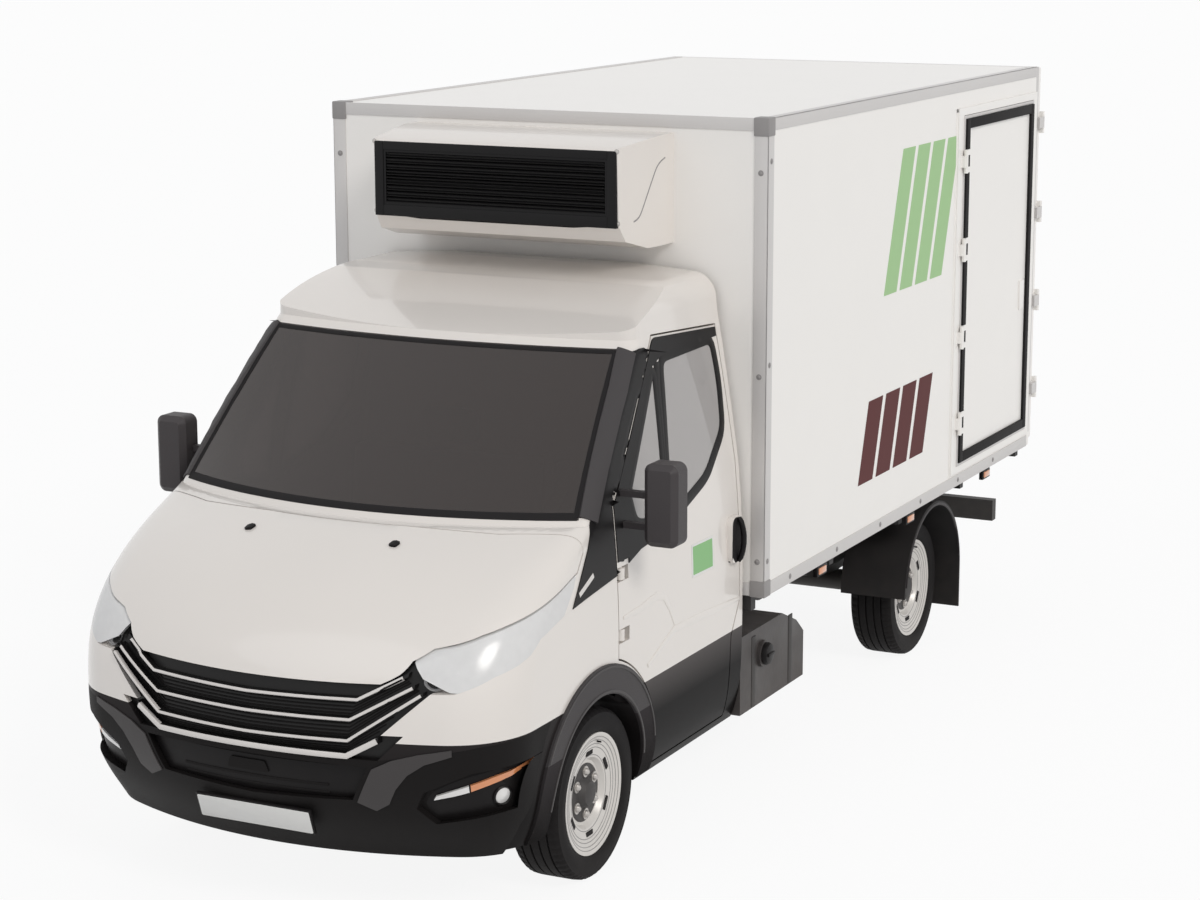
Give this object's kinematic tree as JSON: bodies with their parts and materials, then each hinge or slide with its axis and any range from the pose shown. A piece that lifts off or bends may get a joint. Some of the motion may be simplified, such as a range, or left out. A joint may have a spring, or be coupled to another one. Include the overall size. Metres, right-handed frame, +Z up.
{
  "type": "refrigerated box truck",
  "caption": "Light truck with a semi-bonneted cab, insulated box body, side and rear doors and a cooling unit over the cab.",
  "frame": {"origin": "on the ground, at the middle of the overall length and width", "axes": "+X to the vehicle's left, +Y to its rear, +Z up"},
  "size_m": [2.52, 6.4313, 2.9899],
  "materials": {
    "cab_paint": "warm white gloss paint",
    "bumper_plastic": "grained dark grey plastic",
    "grille_black": "black louvred panel with pale bars",
    "lamp_glass": "clear ribbed lens",
    "dark_glass": "tinted glass",
    "moulding_grey": "dark grey arch moulding",
    "mirror_black": "black mirror shell",
    "dash_plastic": "soft dark plastic",
    "seat_cloth": "woven seat cloth",
    "box_white": "white laminate panel",
    "frame_alloy": "satin aluminium profile",
    "unit_white": "white cooling unit cover",
    "unit_black": "black louvres",
    "chassis_black": "black chassis paint",
    "engine_grey": "cast engine",
    "tyre_rubber": "tyre rubber",
    "rim_silver": "pale silver wheel paint",
    "brake_iron": "cast iron",
    "tank_black": "mottled dark tank",
    "guard_black": "black mudguard plastic",
    "lamp_red": "red lamp lens",
    "exhaust_steel": "dull steel"
  },
  "bodies": {
    "chassis": {"cab_body": "cab_paint", "front_fenders": "cab_paint", "arch_mouldings": "moulding_grey", "front_bumper": "bumper_plastic", "grille": "grille_black", "headlamps": "lamp_glass", "windscreen": "dark_glass", "dashboard": "dash_plastic", "steering_wheel": "dash_plastic", "seats": "seat_cloth", "seat_bases": "dash_plastic", "front_suspension": "chassis_black", "rear_axle": "chassis_black", "leaf_springs": "chassis_black", "chassis_frame": "chassis_black", "engine_block": "engine_grey", "propeller_shaft": "chassis_black", "radiator": "unit_black", "box_floor": "box_white", "box_roof": "box_white", "box_wall_left": "box_white", "box_wall_right": "box_white", "box_front_wall": "box_white", "rear_frame": "frame_alloy", "condenser_housing": "unit_white", "condenser_grille": "unit_black", "fuel_tank": "tank_black", "mudguards": "guard_black", "underrun_bar": "chassis_black", "tail_lamps": "lamp_red", "exhaust": "exhaust_steel"},
    "bonnet": {"bonnet": "cab_paint"},
    "door_left": {"door_left": "cab_paint", "door_glass_left": "dark_glass", "mirror_left": "mirror_black"},
    "door_right": {"door_right": "cab_paint", "door_glass_right": "dark_glass", "mirror_right": "mirror_black"},
    "steer_left": {"knuckle_left": "brake_iron"},
    "steer_right": {"knuckle_right": "brake_iron"},
    "wheel_front_left": {"tyre_front_left": "tyre_rubber", "rim_front_left": "rim_silver"},
    "wheel_front_right": {"tyre_front_right": "tyre_rubber", "rim_front_right": "rim_silver"},
    "wheel_rear_left": {"tyre_rear_left": "tyre_rubber", "rim_rear_left": "rim_silver"},
    "wheel_rear_right": {"tyre_rear_right": "tyre_rubber", "rim_rear_right": "rim_silver"},
    "rear_door_left": {"rear_door_left": "box_white"},
    "rear_door_right": {"rear_door_right": "box_white"},
    "side_door": {"side_door": "box_white"}
  },
  "joints": [
    {"name": "steering_left", "type": "hinge", "parent": "chassis", "child": "steer_left", "pos_m": [0.8, -2.1495, 0.355], "axis": [0, 0, 1], "range_deg": [-35, 35]},
    {"name": "steering_right", "type": "hinge", "parent": "chassis", "child": "steer_right", "pos_m": [-0.8, -2.1495, 0.355], "axis": [0, 0, 1], "range_deg": [-35, 35]},
    {"name": "wheel_front_left_spin", "type": "hinge", "parent": "steer_left", "child": "wheel_front_left", "pos_m": [0.8725, -2.1495, 0.355], "axis": [1, 0, 0], "continuous": true},
    {"name": "wheel_front_right_spin", "type": "hinge", "parent": "steer_right", "child": "wheel_front_right", "pos_m": [-0.8725, -2.1495, 0.355], "axis": [1, 0, 0], "continuous": true},
    {"name": "wheel_rear_left_spin", "type": "hinge", "parent": "chassis", "child": "wheel_rear_left", "pos_m": [0.8725, 1.6005, 0.355], "axis": [1, 0, 0], "continuous": true},
    {"name": "wheel_rear_right_spin", "type": "hinge", "parent": "chassis", "child": "wheel_rear_right", "pos_m": [-0.8725, 1.6005, 0.355], "axis": [1, 0, 0], "continuous": true},
    {"name": "door_left_swing", "type": "hinge", "parent": "chassis", "child": "door_left", "pos_m": [0.99, -1.9444, 1.1], "axis": [0, 0, -1], "range_deg": [0, 45]},
    {"name": "door_right_swing", "type": "hinge", "parent": "chassis", "child": "door_right", "pos_m": [-0.99, -1.9444, 1.1], "axis": [0, 0, 1], "range_deg": [0, 45]},
    {"name": "bonnet_lift", "type": "hinge", "parent": "chassis", "child": "bonnet", "pos_m": [0, -2.2095, 1.48], "axis": [-1, 0, 0], "range_deg": [0, 50]},
    {"name": "rear_door_left_swing", "type": "hinge", "parent": "chassis", "child": "rear_door_left", "pos_m": [1.109, 3.2025, 1.9], "axis": [0, 0, -1], "range_deg": [0, 250]},
    {"name": "rear_door_right_swing", "type": "hinge", "parent": "chassis", "child": "rear_door_right", "pos_m": [-1.109, 3.2025, 1.9], "axis": [0, 0, 1], "range_deg": [0, 250]},
    {"name": "side_door_swing", "type": "hinge", "parent": "chassis", "child": "side_door", "pos_m": [1.128, 1.8575, 1.9], "axis": [0, 0, -1], "range_deg": [0, 170]}
  ],
  "couplings": [
    {"joint": "steering_right", "follows": "steering_left", "ratio": 1}
  ]
}
